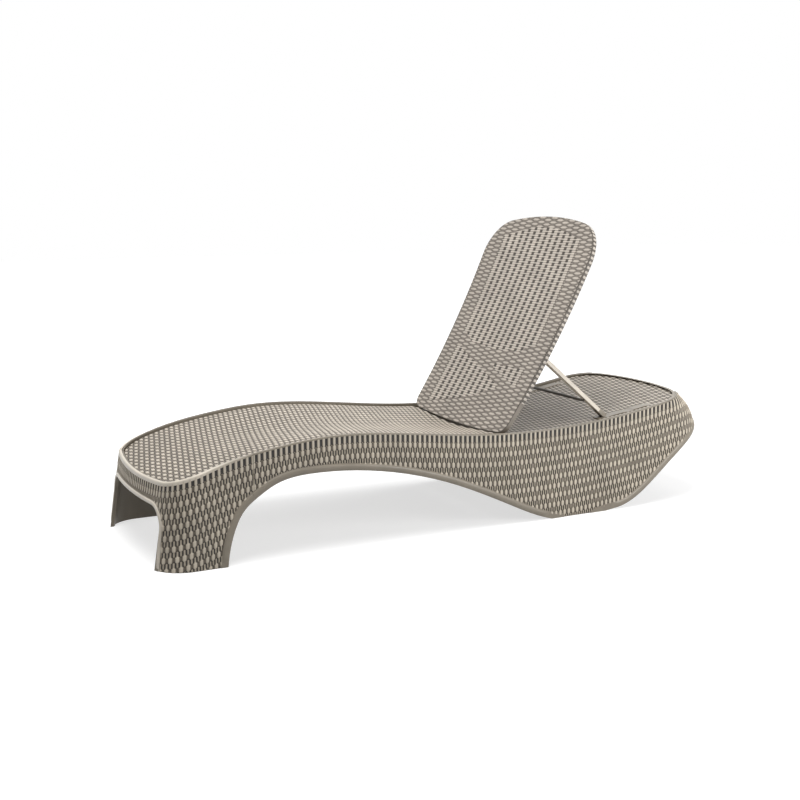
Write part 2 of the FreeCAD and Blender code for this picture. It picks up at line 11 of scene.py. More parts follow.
import bmesh
import bpy
import numpy as np
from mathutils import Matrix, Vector
from mathutils.bvhtree import BVHTree


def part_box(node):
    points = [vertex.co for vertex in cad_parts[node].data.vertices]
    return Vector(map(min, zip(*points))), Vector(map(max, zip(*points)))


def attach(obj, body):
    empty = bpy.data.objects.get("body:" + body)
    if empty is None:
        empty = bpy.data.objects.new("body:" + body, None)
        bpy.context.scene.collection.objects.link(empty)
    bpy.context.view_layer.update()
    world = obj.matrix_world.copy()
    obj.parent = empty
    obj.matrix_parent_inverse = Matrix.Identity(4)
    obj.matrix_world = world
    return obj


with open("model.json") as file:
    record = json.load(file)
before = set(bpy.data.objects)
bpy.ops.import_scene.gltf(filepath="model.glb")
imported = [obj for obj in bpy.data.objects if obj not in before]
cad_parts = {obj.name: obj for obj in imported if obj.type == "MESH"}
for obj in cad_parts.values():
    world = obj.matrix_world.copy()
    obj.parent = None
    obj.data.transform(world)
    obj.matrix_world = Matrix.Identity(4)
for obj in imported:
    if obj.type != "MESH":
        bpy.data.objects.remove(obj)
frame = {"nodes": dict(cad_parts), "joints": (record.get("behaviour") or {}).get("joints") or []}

log = logging.getLogger("lounger")

Colour = tuple[float, float, float]
Place = tuple[float, float, float]
BentLine = tuple[tuple[float, ...], tuple[float, ...]]

UP = Vector((0.0, 0.0, 1.0))
WHITE = (1.0, 1.0, 1.0, 1.0)
# What a ray gives that meets nothing.
MISS = None
# Share of painted shade at a point: in the weave it follows the point's depth, from 0 on a crown to 1 in
# a slot; on the rim bead it gives painted shade to the sides and the inner face.
PAINTED_SHADE_ATTRIBUTE = "painted_shade_share"
# A row that lies before every place of a weave, so that all strands cross.
BEFORE_ALL = -1e6
# Steps of a mesh across one strand, and along a strand from one row to the next.
STRAND_STEPS = 5
ROW_STEPS = 12
# Angle between the raised back and the floor, in degrees.
BACK_LEAN = 62.0
# Height of the level from which the seat and the deck are measured.
PANEL_LEVEL = 0.3


class Body(Enum):
    """The bodies of the frame that new pieces ride on."""

    ROOT = "root"
    BACK = "backrest"


class Slot(Enum):
    """The record's material slots, passed along with new pieces but not applied to them."""

    BODY = "body_resin"
    PANEL = "panel_resin"
    BACK = "back_resin"


def linear(red: int, green: int, blue: int) -> Colour:
    """Turn a colour as a screen shows it into the linear values of a shader.

    Args:
        red: Red from 0 to 255.
        green: Green from 0 to 255.
        blue: Blue from 0 to 255.

    Returns:
        The three linear values, by the sRGB curve.
    """
    shares = (red / 255.0, green / 255.0, blue / 255.0)
    return tuple(s / 12.92 if s <= 0.04045 else ((s + 0.055) / 1.055) ** 2.4 for s in shares)


def noise(
    tree: bpy.types.NodeTree, place: bpy.types.NodeSocket, scale: float, detail: float
) -> bpy.types.NodeSocket:
    """Add a noise texture.

    Args:
        tree: Node tree of the material.
        place: Socket with the coordinates.
        scale: Features to a metre.
        detail: Octaves.

    Returns:
        The socket with the noise's value.
    """
    texture = tree.nodes.new("ShaderNodeTexNoise")
    texture.inputs["Scale"].default_value = scale
    texture.inputs["Detail"].default_value = detail
    tree.links.new(place, texture.inputs["Vector"])
    return texture.outputs["Fac"]


def ranged(
    tree: bpy.types.NodeTree,
    value: bpy.types.NodeSocket,
    low: float,
    high: float,
    least: float = 0.0,
    most: float = 1.0,
) -> bpy.types.NodeSocket:
    """Add a node that maps one range of values to another.

    Args:
        tree: Node tree that takes the node.
        value: Socket with the value.
        low: Result at the least value.
        high: Result at the most.
        least: Value below which the result stays low.
        most: Value above which it stays high.

    Returns:
        The socket with the result.
    """
    mapped = tree.nodes.new("ShaderNodeMapRange")
    mapped.inputs["From Min"].default_value = least
    mapped.inputs["From Max"].default_value = most
    mapped.inputs["To Min"].default_value = low
    mapped.inputs["To Max"].default_value = high
    tree.links.new(value, mapped.inputs["Value"])
    return mapped.outputs["Result"]


@dataclass(frozen=True)
class Finish:
    """A surface with a node material of its own."""

    name: str

    def material(self) -> bpy.types.Material:
        """Make the material, once for each name.

        Returns:
            The material.
        """
        made = bpy.data.materials.get(self.name)
        if made is None:
            made = bpy.data.materials.new(self.name)
            made.use_nodes = True
            tree = made.node_tree
            place = tree.nodes.new("ShaderNodeTexCoord").outputs["Object"]
            self._dress(tree, tree.nodes["Principled BSDF"], place)
        return made

    def _dress(
        self, tree: bpy.types.NodeTree, shader: bpy.types.Node, place: bpy.types.NodeSocket
    ) -> None:
        """Link the nodes of the look, which each kind of finish does in its own way."""
        raise NotImplementedError


@dataclass(frozen=True)
class ResinFinish(Finish):
    """Moulded resin whose colour paints shade by depth: pale on the strands' crowns, darker through the
    shade colour to the dark slot colour in the slots between strands.

    Stops are places on the colour ramp. Clouds, streaks and grain each have the scale and
    the detail of a noise.
    """

    strand: Colour
    shade: Colour
    slot: Colour
    roughness: float = 0.5
    mottle: float = 0.10
    grain_depth: float = 0.00012
    grain_strength: float = 0.6
    specular: float = 0.42
    strand_stop: float = 0.12
    shade_stop: float = 0.5
    slot_stop: float = 0.86
    clouds: tuple[float, float] = (14.0, 3.0)
    cloud_range: tuple[float, float] = (0.3, 0.7)
    streaks: tuple[float, float] = (260.0, 2.0)
    smoother: float = 0.08
    rougher: float = 0.12
    grain: tuple[float, float] = (900.0, 4.0)

    def _dress(
        self, tree: bpy.types.NodeTree, shader: bpy.types.Node, place: bpy.types.NodeSocket
    ) -> None:
        """Link the colour by depth in the weave, which paints shade into the slots, the mottle, the
        gloss and the grain.

        Args:
            tree: Node tree of the material.
            shader: Its surface shader.
            place: Socket with the coordinates.
        """
        shader.inputs["Specular IOR Level"].default_value = self.specular
        relief = tree.nodes.new("ShaderNodeAttribute")
        relief.attribute_name = PAINTED_SHADE_ATTRIBUTE
        # The ramp paints shade: the strand colour on crowns, the shade and slot colours deeper down.
        ramp = tree.nodes.new("ShaderNodeValToRGB")
        stops = ramp.color_ramp.elements
        stops[0].position = self.strand_stop
        stops[0].color = (*self.strand, 1.0)
        stops[1].position = self.slot_stop
        stops[1].color = (*self.slot, 1.0)
        middle = stops.new(self.shade_stop)
        middle.color = (*self.shade, 1.0)
        tree.links.new(relief.outputs["Fac"], ramp.inputs["Fac"])
        clouds = noise(tree, place, *self.clouds)
        spread = ranged(tree, clouds, 1.0 - self.mottle, 1.0 + self.mottle, *self.cloud_range)
        tint = tree.nodes.new("ShaderNodeVectorMath")
        tint.operation = "SCALE"
        tree.links.new(ramp.outputs["Color"], tint.inputs[0])
        tree.links.new(spread, tint.inputs["Scale"])
        tree.links.new(tint.outputs["Vector"], shader.inputs["Base Color"])
        streaks = noise(tree, place, *self.streaks)
        gloss = ranged(tree, streaks, self.roughness - self.smoother, self.roughness + self.rougher)
        tree.links.new(gloss, shader.inputs["Roughness"])
        grain = noise(tree, place, *self.grain)
        bump = tree.nodes.new("ShaderNodeBump")
        bump.inputs["Strength"].default_value = self.grain_strength
        bump.inputs["Distance"].default_value = self.grain_depth
        tree.links.new(grain, bump.inputs["Height"])
        tree.links.new(bump.outputs["Normal"], shader.inputs["Normal"])


@dataclass(frozen=True)
class MetalFinish(Finish):
    """Steel with a fine brushed or coated surface, whose marks run along the width."""

    colour: Colour
    metallic: float
    roughness: float
    stretch: Place = (1.0, 0.08, 1.0)
    marks: tuple[float, float] = (420.0, 3.0)
    mark_stops: tuple[float, float] = (0.3, 0.7)
    mark_shade: float = 0.8
    smoother: float = 0.08
    rougher: float = 0.10

    def _dress(
        self, tree: bpy.types.NodeTree, shader: bpy.types.Node, place: bpy.types.NodeSocket
    ) -> None:
        """Link the marks to the colour and the gloss.

        Args:
            tree: Node tree of the material.
            shader: Its surface shader.
            place: Socket with the coordinates.
        """
        shader.inputs["Metallic"].default_value = self.metallic
        mapping = tree.nodes.new("ShaderNodeMapping")
        mapping.inputs["Scale"].default_value = self.stretch
        tree.links.new(place, mapping.inputs["Vector"])
        marks = noise(tree, mapping.outputs["Vector"], *self.marks)
        ramp = tree.nodes.new("ShaderNodeValToRGB")
        stops = ramp.color_ramp.elements
        stops[0].position, stops[1].position = self.mark_stops
        stops[0].color = (*[self.mark_shade * c for c in self.colour], 1.0)
        stops[1].color = (*self.colour, 1.0)
        tree.links.new(marks, ramp.inputs["Fac"])
        tree.links.new(ramp.outputs["Color"], shader.inputs["Base Color"])
        gloss = ranged(tree, marks, self.roughness - self.smoother, self.roughness + self.rougher)
        tree.links.new(gloss, shader.inputs["Roughness"])


BODY_RESIN = ResinFinish(
    "body_resin_woven", linear(191, 181, 165), linear(130, 120, 105), linear(26, 22, 18)
)
PANEL_RESIN = ResinFinish(
    "panel_resin_woven", linear(189, 180, 167), linear(132, 123, 110), linear(52, 45, 38)
)
BACK_RESIN = ResinFinish(
    "back_resin_woven", linear(192, 183, 172), linear(132, 124, 115), linear(58, 52, 46)
)
# A darker copy of the smooth resin, painted shade for the shell, the notch rail and the lips along the
# sides.
SHADED_SHELL_RESIN = ResinFinish(
    "shell_resin_smooth_painted_shade", linear(127, 119, 106), linear(104, 96, 85), linear(66, 59, 50), roughness=0.36
)
BACK_CORE = ResinFinish(
    "back_resin_smooth", linear(128, 120, 110), linear(100, 93, 85), linear(66, 60, 54)
)
# A pale copy of the smooth resin, raised as painted light, for the bead and the foot end's lip; its ramp
# paints shade on the bead's sides and inner face.
LIT_SMOOTH_RESIN = ResinFinish(
    "smooth_resin_painted_light", linear(202, 193, 179), linear(118, 110, 97), linear(62, 55, 46), roughness=0.34
)
PROP_RESIN = ResinFinish(
    "prop_resin_smooth", linear(218, 209, 195), linear(150, 140, 125), linear(90, 82, 70), roughness=0.42
)
NYLON = ResinFinish(
    "nylon_grey", linear(148, 140, 128), linear(120, 113, 102), linear(80, 74, 66), roughness=0.45
)
COATED_STEEL = MetalFinish("coated_steel_grey", linear(118, 114, 108), metallic=0.35, roughness=0.48)
PLATED_STEEL = MetalFinish("plated_steel_bright", linear(196, 194, 190), metallic=1.0, roughness=0.3)


def eased(share: np.ndarray) -> np.ndarray:
    """Return a smooth step from 0 to 1."""
    held = np.clip(share, 0.0, 1.0)
    return held * held * (3.0 - 2.0 * held)


def boundary(holds: Callable[[float], bool], inside: float, outside: float, fine: float) -> float:
    """Find where a test stops holding, by halving the span between two places.

    Args:
        holds: The test.
        inside: Place where it holds.
        outside: Place where it doesn't.
        fine: Span at which the search ends.

    Returns:
        The last place found where it holds.
    """
    while abs(outside - inside) > fine:
        middle = 0.5 * (inside + outside)
        if holds(middle):
            inside = middle
        else:
            outside = middle
    return inside


@dataclass(frozen=True)
class Weave:
    """A weave of strands that rise over one cross row and dive under the next.

    Strands are counted along one direction and rows along the other. The pitch of the
    strands, the row, the depth and the bed are in metres, half widths in pitches, lengths
    along a strand in rows and levels in shares of the depth. The run-on is a share of the
    dive.
    """

    pitch: float
    row: float
    depth: float
    nub: float = 0.21
    dive: float = 0.09
    wide: float = 0.58
    narrow: float = 0.24
    free: float = 0.74
    sunk: float = 0.06
    cross_level: float = 0.28
    cross_half: float = 0.26
    squareness: float = 5.0
    run_on: float = 0.4
    bed: float = 0.0002

    def crown(self, offset: np.ndarray, half: np.ndarray) -> np.ndarray:
        """Return the blunt round of a strand, from 1 on its middle line to 0 at its half width."""
        return np.sqrt(np.clip(1.0 - np.abs(offset / half) ** self.squareness, 0.0, 1.0))

    def strand(self, offset: np.ndarray, distance: np.ndarray) -> np.ndarray:
        """Return the height of one strand.

        Args:
            offset: Distance from the strand's middle line, in pitches.
            distance: Distance along it from the nearest row that it rises over, in rows.

        Returns:
            Heights from 0 to 1.
        """
        left = eased((distance - self.nub) / self.dive)
        under = eased((distance - 1.0 + self.nub + self.dive) / self.dive)
        level = 1.0 - (1.0 - self.free) * left - (self.free - self.sunk) * under
        half = self.wide - (self.wide - self.narrow) * left
        return level * self.crown(offset, half)

    def relief(self, strands: np.ndarray, rows: np.ndarray, first_row: float = BEFORE_ALL) -> np.ndarray:
        """Return the height of the weave as a share of its depth.

        Args:
            strands: Place across the strands, in pitches.
            rows: Place along the strands, in rows.
            first_row: Row before which strands run on without crossing.

        Returns:
            Heights from 0 in a slot to 1 on a nub's crown.
        """
        high = np.zeros_like(strands)
        nearest = np.rint(strands)
        for step in (-1.0, 0.0, 1.0):
            number = nearest + step
            odd = np.mod(number, 2.0)
            turn = np.mod(rows + odd + 1.0, 2.0)
            distance = np.abs(turn - 1.0)
            runs_on = np.where(odd == 0.0, self.nub + self.run_on * self.dive, 1.0)
            distance = np.where(rows < first_row, runs_on, distance)
            high = np.maximum(high, self.strand(strands - number, distance))
        offset = (rows - np.rint(rows)) / self.cross_half
        cross = self.cross_level * np.sqrt(np.clip(1.0 - offset**2, 0.0, 1.0))
        return np.maximum(high, np.where(rows < first_row, 0.0, cross))


@dataclass(frozen=True)
class MotifWeave(Weave):
    """A weave with a field of upright light columns, parted by bands of plain weave.

    The main field spans the back's middle line, and a far and a near wedge lie below it.
    Their limits are in metres: heights above the hinge, at places across the back.
    """

    column_nub: float = 0.23
    column_wide: float = 0.43
    column_waist: float = 0.05
    column_free: float = 0.78
    column_sunk: float = 0.20
    plain_floor: float = 0.24
    plain_top: float = 0.80
    field_half: float = 0.2265
    main_low: BentLine = ((0.0, 0.15, 0.215), (0.256, 0.266, 0.298))
    main_top: float = 0.702
    main_fall: float = 0.034
    main_half: float = 0.21
    far_low: BentLine = ((-0.115, 0.055, 0.212), (0.124, 0.062, 0.024))
    far_top: BentLine = ((-0.115, 0.212), (0.138, 0.240))
    near_low: BentLine = ((-0.212, -0.045), (0.150, 0.192))
    near_top: float = 0.208

    def relief(self, strands: np.ndarray, rows: np.ndarray, first_row: float = BEFORE_ALL) -> np.ndarray:
        """Return the height of the weave as a share of its depth, with the motif worked in.

        Args:
            strands: Place across the strands, in pitches.
            rows: Place along the strands, in rows.
            first_row: Row before which strands of the plain weave run on without crossing.

        Returns:
            Heights from 0 in a slot to 1 on a column's crown.
        """
        woven = super().relief(strands, rows, first_row)
        plain_weave = self.plain_floor + (self.plain_top - self.plain_floor) * woven
        to_column = np.abs(rows - np.rint(rows))
        between = eased((to_column - self.column_nub) / self.dive)
        half = self.column_wide - self.column_waist * between
        high = np.zeros_like(strands)
        nearest = np.rint(strands)
        for step in (-1.0, 0.0, 1.0):
            number = nearest + step
            dives = np.mod(number + np.floor(rows), 2.0) == 1.0
            level = 1.0 - between * np.where(dives, 1.0 - self.column_sunk, 1.0 - self.column_free)
            high = np.maximum(high, level * self.crown(strands - number, half))
        return np.where(self._field(strands * self.pitch, rows * self.row), high, plain_weave)

    def _field(self, up: np.ndarray, across: np.ndarray) -> np.ndarray:
        """Return where the columns show.

        Args:
            up: Distance from the hinge along the back.
            across: Distance from the back's middle line.

        Returns:
            True where columns show, and False in the plain bands and borders.
        """
        side = np.abs(across)
        main_top = self.main_top - self.main_fall * (side / self.main_half) ** 2
        main = (up > np.interp(side, *self.main_low)) & (up < main_top)
        far = (up > np.interp(across, *self.far_low)) & (up < np.interp(across, *self.far_top))
        far &= across > self.far_low[0][0]
        near = (up > np.interp(across, *self.near_low)) & (up < self.near_top)
        near &= across < self.near_low[0][-1]
        return (side < self.field_half) & (main | far | near)


APRON_WEAVE = Weave(pitch=0.0082, row=0.0305, depth=0.0028, wide=0.62)
SEAT_WEAVE = Weave(
    pitch=0.0082, row=0.0302, depth=0.0019, nub=0.26, narrow=0.27, free=0.52, cross_level=0.32
)
BACK_WEAVE = MotifWeave(
    pitch=0.0081, row=0.0353, depth=0.0019, nub=0.37, wide=0.48, narrow=0.27, free=0.62, sunk=0.20
)
EDGE_WEAVE = Weave(pitch=0.0082, row=0.0302, depth=0.0014, nub=0.18, wide=0.56)


@dataclass
class Skin:
    """A CAD node's surface, ready to be probed by rays."""

    node: str
    tree: BVHTree = field(init=False)
    low: Vector = field(init=False)
    high: Vector = field(init=False)

    def __post_init__(self) -> None:
        """Read the node's mesh and its box."""
        mesh = frame["nodes"][self.node].data
        mesh.calc_loop_triangles()
        corners = [v.co.copy() for v in mesh.vertices]
        faces = [tuple(t.vertices) for t in mesh.loop_triangles]
        self.tree = BVHTree.FromPolygons(corners, faces)
        self.low, self.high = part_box(self.node)

    def probe(self, start: Vector, heading: Vector, reach: float = 10.0) -> Vector | None:
        """Return where a ray first meets the surface, or a miss."""
        return self.tree.ray_cast(start, heading, reach)[0]


@dataclass
class Net:
    """A net of points, with the way out at each and its share of painted shade, which in the weave
    follows how deep it lies.
    """

    points: np.ndarray
    normals: np.ndarray
    painted_shade_share: np.ndarray
    keep: np.ndarray | None = None
    closed: bool = False
    weld: float = 0.00001

    def piece(
        self, name: str, material: bpy.types.Material, body: Body, slot: Slot
    ) -> bpy.types.Object:
        """Make one object whose faces look outward.

        Args:
            name: Name of the piece.
            material: Its material.
            body: Body that carries it.
            slot: Material slot of the record.

        Returns:
            The new object.
        """
        rings, steps = self.painted_shade_share.shape
        keep = np.ones((rings, steps), bool) if self.keep is None else self.keep
        shape = bmesh.new()
        # The grid is one unit wide about the origin, so a vertex's place there gives its numbers.
        half = 0.5
        bmesh.ops.create_grid(shape, x_segments=rings - 1, y_segments=steps - 1, size=half)
        painted_shade_share = shape.verts.layers.float.new(PAINTED_SHADE_ATTRIBUTE)
        loose = set()
        for vert in shape.verts:
            i = round((vert.co.x + half) * (rings - 1))
            k = round((vert.co.y + half) * (steps - 1))
            vert.co = self.points[i, k]
            vert[painted_shade_share] = self.painted_shade_share[i, k]
            if not keep[i, k]:
                loose.add(vert.index)
        dead = [f for f in shape.faces if any(v.index in loose for v in f.verts)]
        bmesh.ops.delete(shape, geom=dead, context="FACES")
        if self.closed:
            bmesh.ops.remove_doubles(shape, verts=shape.verts[:], dist=self.weld)
        if self._inward(keep):
            bmesh.ops.reverse_faces(shape, faces=shape.faces[:])
        return finished(name, shape, material, body, slot)

    def _inward(self, keep: np.ndarray) -> bool:
        """Tell whether the net's faces look inward as they are made.

        Args:
            keep: Which points are kept.

        Returns:
            True if most of the faces look inward.
        """
        first = np.diff(self.points, axis=0)[:, :-1]
        second = np.diff(self.points, axis=1)[:-1]
        facing = (np.cross(first, second) * self.normals[:-1, :-1]).sum(axis=2)
        return facing[keep[:-1, :-1] & keep[1:, :-1] & keep[:-1, 1:]].sum() < 0.0


@dataclass
class Sheet:
    """A grid of points on a surface, with its weave coordinates and a border that sinks and takes the
    full painted shade.
    """

    points: np.ndarray
    normals: np.ndarray
    strands: np.ndarray
    rows: np.ndarray
    keep: np.ndarray
    border: np.ndarray | None = None

    def piece(
        self,
        name: str,
        weave: Weave,
        finish: ResinFinish,
        body: Body,
        slot: Slot,
        first_row: float = BEFORE_ALL,
    ) -> bpy.types.Object:
        """Make the woven relief as one object.

        Args:
            name: Name of the piece.
            weave: Weave that gives the relief.
            finish: Finish of the strands.
            body: Body that carries the piece.
            slot: Material slot of the record.
            first_row: Row before which strands run on without crossing.

        Returns:
            The new object.
        """
        share = weave.relief(self.strands, self.rows, first_row)
        # The border sinks to the bed and is painted fully shaded, a dark line of shade along the edge.
        if self.border is not None:
            share = share * (1.0 - self.border)
        lifted = self.points + self.normals * (weave.bed + weave.depth * share)[..., None]
        # Deeper points take more painted shade.
        net = Net(lifted, self.normals, 1.0 - share, self.keep)
        return net.piece(name, finish.material(), body, slot)


def finished(
    name: str, shape: bmesh.types.BMesh, material: bpy.types.Material, body: Body, slot: Slot
) -> bpy.types.Object:
    """Turn a bmesh into a smooth-shaded object that rides on a body.

    Args:
        name: Name of the piece.
        shape: The finished bmesh, which is freed.
        material: Its material.
        body: Body that carries it.
        slot: Material slot of the record; not used.

    Returns:
        The new object.
    """
    mesh = bpy.data.meshes.new(name)
    shape.to_mesh(mesh)
    shape.free()
    mesh.polygons.foreach_set("use_smooth", [True] * len(mesh.polygons))
    mesh.materials.append(material)
    made = bpy.data.objects.new(name, mesh)
    bpy.context.scene.collection.objects.link(made)
    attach(made, body.value)
    log.info("%s: %d faces on %s", name, len(mesh.polygons), body.value)
    return made


@dataclass
class Column:
    """One upright line on the outside of the body's wall."""

    place: Vector
    outward: Vector
    base: float
    top: float = 0.0

    def halfway(self, other: "Column") -> "Column":
        """Return the line midway between this one and another.

        Args:
            other: The other line.

        Returns:
            The new line.
        """
        return Column(
            0.5 * (self.place + other.place),
            (self.outward + other.outward).normalized(),
            0.5 * (self.base + other.base),
            0.5 * (self.top + other.top),
        )


@dataclass
class Apron:
    """The woven outer wall of the body and the smooth bead along its rim.

    The wall is traced by level rays: square to the sides between two pivots on the middle
    line, and round each pivot at the foot end and the head end. The bead is taller and wider
    at the foot end, where it keeps the pale finish as painted light, and fades into that of
    the sides, which take painted shade, darker still on its inner face.
    """

    node: str = "body_shell"
    side_trace: float = 0.258
    foot_trace: float = 0.225
    foot_pivot: float = -0.70
    head_pivot: float = 0.62
    trace_steps: int = 400
    far: float = 0.20
    reach: float = 0.36
    end_reach: float = 0.792
    highest: float = 0.40
    rim_fine: float = 0.0002
    rim_window: int = 6
    wall_spread: float = 0.06
    wall_end: float = 0.008
    lip_step: float = 0.0012
    lip_cover: int = 3
    first_row_drop: float = 0.034
    start_drop: float = 0.003
    free_row: float = -0.30
    sections: int = 8
    bead_foot: float = 0.0105
    bead_side: float = 0.0040
    bead_proud: float = 0.0024
    bead_crown: float = 0.0016
    bead_width: float = 0.0060
    bead_extra: float = 0.0036
    bead_points: int = 13
    # Painted shade on the bead: its face past this share of a half turn is fully shaded, and the sides
    # take the next share, fading out towards the foot end.
    bead_shaded_turn: float = 0.70
    bead_shade: float = 0.5
    bead_fade: float = 0.2
    bead_inside: float = 0.004
    skin: Skin = field(init=False)
    columns: list[Column] = field(init=False)

    def build(self) -> list[bpy.types.Object]:
        """Make the woven wall and the bead, and keep the wall's columns.

        Returns:
            The wall in sections, then the bead.
        """
        self.skin = Skin(self.node)
        loop = self._trace()
        lengths = [(b - a).length for a, b in zip(loop, loop[1:] + loop[:1])]
        count = 2 * round(sum(lengths) / APRON_WEAVE.pitch / 2.0 / self.sections) * self.sections
        self.columns = self._columns(loop, lengths, count * STRAND_STEPS)
        pieces = []
        share = len(self.columns) // self.sections
        ring = self.columns + self.columns[:1]
        for index in range(self.sections):
            first = index * share
            sheet = self._sheet(ring[first : first + share + 1], first)
            name = f"apron_weave_{index + 1}"
            pieces.append(
                sheet.piece(name, APRON_WEAVE, BODY_RESIN, Body.ROOT, Slot.BODY, self.free_row)
            )
        pieces.append(self._bead(self.columns[::STRAND_STEPS]))
        return pieces

    def _trace(self) -> list[Vector]:
        """Follow the outside of the wall.

        Returns:
            Points round it, anticlockwise from above.
        """
        rays = []
        side = self.skin.high.y + self.far
        steps = self.trace_steps
        run = self.head_pivot - self.foot_pivot
        for near in (True, False):
            pivot = self.head_pivot if near else self.foot_pivot
            level = self.side_trace if near else self.foot_trace
            for i in range(steps):
                x = self.foot_pivot + run * i / steps if near else self.head_pivot - run * i / steps
                start = Vector((x, -side if near else side, self.side_trace))
                rays.append((start, Vector((0.0, 1.0 if near else -1.0, 0.0)), self.reach))
            for i in range(steps):
                angle = math.pi * ((-0.5 if near else 0.5) + i / steps)
                out = Vector((math.cos(angle), math.sin(angle), 0.0))
                start = Vector((pivot, 0.0, level)) + out
                rays.append((start, -out, self.end_reach))
        hits = [self.skin.probe(start, heading, reach) for start, heading, reach in rays]
        return [h for h in hits if h is not MISS]

    def _columns(self, loop: list[Vector], lengths: list[float], count: int) -> list[Column]:
        """Return evenly spaced columns.

        Args:
            loop: Points round the wall.
            lengths: Distance from each point to the next.
            count: How many columns.

        Returns:
            The columns, with the rim's height at each.
        """
        ends = np.concatenate(([0.0], np.cumsum(lengths)))
        closed = np.array([tuple(p) for p in loop + loop[:1]])
        wanted = np.arange(count) * ends[-1] / count
        x = np.interp(wanted, ends, closed[:, 0])
        y = np.interp(wanted, ends, closed[:, 1])
        bases = np.interp(wanted, ends, closed[:, 2])
        ahead = 2 * STRAND_STEPS
        dx = np.roll(x, -ahead) - np.roll(x, ahead)
        dy = np.roll(y, -ahead) - np.roll(y, ahead)
        columns = []
        for i in range(count):
            outward = Vector((dy[i], -dx[i], 0.0)).normalized()
            place = Vector((x[i], y[i], 0.0))
            columns.append(Column(place, outward, float(bases[i])))
        tops = np.array([self._rim_height(c) for c in columns])
        for i, column in enumerate(columns):
            first = max(0, i - self.rim_window)
            column.top = float(np.median(tops[first : i + self.rim_window + 1]))
        return columns

    def offset(self, column: Column, height: float) -> float | None:
        """Measure the wall from a column's line.

        Args:
            column: The column.
            height: Height above the floor.

        Returns:
            How far out the wall lies at that height, or a miss.
        """
        start = column.place + column.outward * self.far + UP * height
        hit = self.skin.probe(start, -column.outward, self.reach)
        return MISS if hit is MISS else self.far - (hit - start).length

    def _rim_height(self, column: Column) -> float:
        """Find the rim's top.

        Args:
            column: Column at which it is found.

        Returns:
            Its height there.
        """

        def on_wall(height: float) -> bool:
            """Tell whether the wall is met at a height."""
            offset = self.offset(column, height)
            return offset is not MISS and abs(offset) <= self.wall_spread

        return boundary(on_wall, column.base, self.highest, self.rim_fine)

    def _sheet(self, columns: list[Column], first: int) -> Sheet:
        """Return the grid of one section of the wall.

        Args:
            columns: Columns of the section.
            first: Number of its first column.

        Returns:
            The grid, with the places below the wall marked as not kept.
        """
        step = APRON_WEAVE.row / ROW_STEPS
        deepest = max(c.top for c in columns)
        count = int(deepest / step) + 1
        points = np.zeros((len(columns), count, 3))
        keep = np.zeros((len(columns), count), bool)
        for i, column in enumerate(columns):
            offsets: list[float] = []
            under_lip = 0
            for k in range(count):
                height = column.top - self.start_drop - k * step
                found = self.offset(column, height) if height > 0.0 else MISS
                guess = 2.0 * offsets[-1] - offsets[-2] if len(offsets) > 1 else found
                if found is MISS or under_lip >= self.lip_cover:
                    break
                if under_lip or found - guess > self.lip_step:
                    under_lip += 1
                    found = guess
                elif guess - found > self.wall_end:
                    break
                offsets.append(found)
                place = column.place + column.outward * found
                points[i, k] = (place.x, place.y, height)
                keep[i, k] = True
        normals = np.array([[tuple(c.outward)] * count for c in columns])
        strands = (first + np.arange(len(columns)))[:, None] / STRAND_STEPS + np.zeros((1, count))
        drops = self.start_drop + np.arange(count) * step
        rows = (drops - self.first_row_drop)[None, :] / APRON_WEAVE.row + np.zeros((len(columns), 1))
        return Sheet(points, normals, strands, rows, keep)

    def _bead(self, columns: list[Column]) -> bpy.types.Object:
        """Return the smooth bead along the rim, a round moulding swept round the body.

        Args:
            columns: Columns that the bead passes.

        Returns:
            The new object.
        """
        ring = columns + columns[:1]
        points = np.zeros((len(ring), self.bead_points, 3))
        normals = np.zeros_like(points)
        painted_shade_share = np.zeros((len(ring), self.bead_points))
        for i, column in enumerate(ring):
            foot = min(1.0, max(0.0, (self.foot_pivot - column.place.x) / self.bead_fade))
            tall = self.bead_side + (self.bead_foot - self.bead_side) * foot
            offset = self.offset(column, column.top - tall) or 0.0
            width = self.bead_width + self.bead_extra * foot + self.bead_proud
            for k in range(self.bead_points):
                turn = math.pi * k / (self.bead_points - 1)
                out = offset + self.bead_proud - 0.5 * width * (1.0 - math.cos(turn))
                lowest = column.top - (tall if turn < 0.5 * math.pi else self.bead_inside)
                rise = math.sqrt(max(0.0, math.sin(turn)))
                height = lowest + (column.top + self.bead_crown - lowest) * rise
                points[i, k] = column.place + column.outward * out + UP * height
                normals[i, k] = column.outward * math.cos(turn) + UP * math.sin(turn)
                # Painted shade: full on the inner face, part on the sides, none at the foot end, which
                # keeps the pale finish as painted light.
                inner = turn > self.bead_shaded_turn * math.pi
                painted_shade_share[i, k] = 1.0 if inner else self.bead_shade * (1.0 - foot)
        net = Net(points, normals, painted_shade_share, closed=True)
        return net.piece("rim_bead", LIT_SMOOTH_RESIN.material(), Body.ROOT, Slot.BODY)


class EdgePlace(NamedTuple):
    """One place of the wall's lower edge, with its distance round the body and its height."""

    arc: float
    column: Column
    height: float


